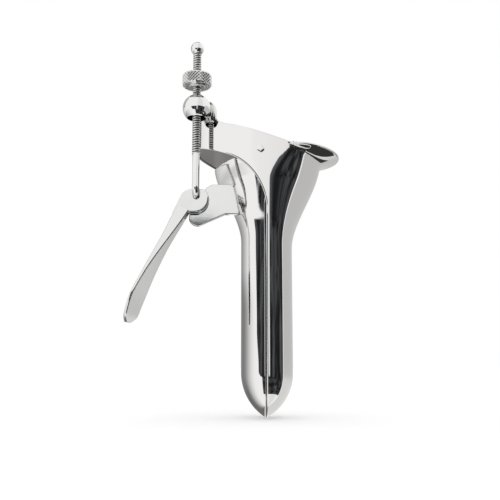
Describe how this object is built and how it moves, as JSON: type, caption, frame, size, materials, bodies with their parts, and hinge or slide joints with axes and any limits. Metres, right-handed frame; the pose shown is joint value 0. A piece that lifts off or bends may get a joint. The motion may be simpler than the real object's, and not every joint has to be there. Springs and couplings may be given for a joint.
{
  "type": "bivalve speculum",
  "caption": "Hinged bivalve speculum of polished steel: nested duckbill valves, flared mouth with hoop, thumb lever, and screw with knurled nut that holds the valves open.",
  "frame": {"origin": "middle of the mouth, on the parting of the two blades and level with their hinge", "axes": "+Z from the blades' tips towards the mouth and the screw, +X from the screw side towards the flared lip, +Y along the hinge, away from the screw"},
  "size_m": [0.0788, 0.0383, 0.1379],
  "materials": {
    "valve_steel": "mirror-polished stainless steel sheet",
    "fitting_steel": "polished stainless steel, turned",
    "lever_steel": "polished stainless steel, forged and ground"
  },
  "bodies": {
    "lower": {"lower_valve": "valve_steel", "hinge_rivet_front": "fitting_steel", "hinge_rivet_back": "fitting_steel", "screw_ball": "fitting_steel", "ball_rivet": "fitting_steel"},
    "upper": {"upper_valve": "valve_steel", "lever_bracket": "lever_steel", "thumb_lever": "lever_steel"},
    "screw": {"screw_rod": "fitting_steel", "end_stop": "fitting_steel"},
    "nut": {"knurled_nut": "fitting_steel"}
  },
  "joints": [
    {"name": "valve_open", "type": "hinge", "parent": "lower", "child": "upper", "pos_m": [-0.0025, 0, 0], "axis": [0, 1, 0], "range_deg": [0, 25]},
    {"name": "screw_swing", "type": "hinge", "parent": "upper", "child": "screw", "pos_m": [-0.02594, -0.01055, -0.0162], "axis": [0, 1, 0], "range_deg": [-14.5, 0]},
    {"name": "nut_travel", "type": "slide", "parent": "screw", "child": "nut", "axis": [0, 0, 1], "range_m": [-0.0028, 0.0075]}
  ],
  "couplings": [
    {"joint": "screw_swing", "follows": "valve_open", "ratio": -0.57}
  ]
}
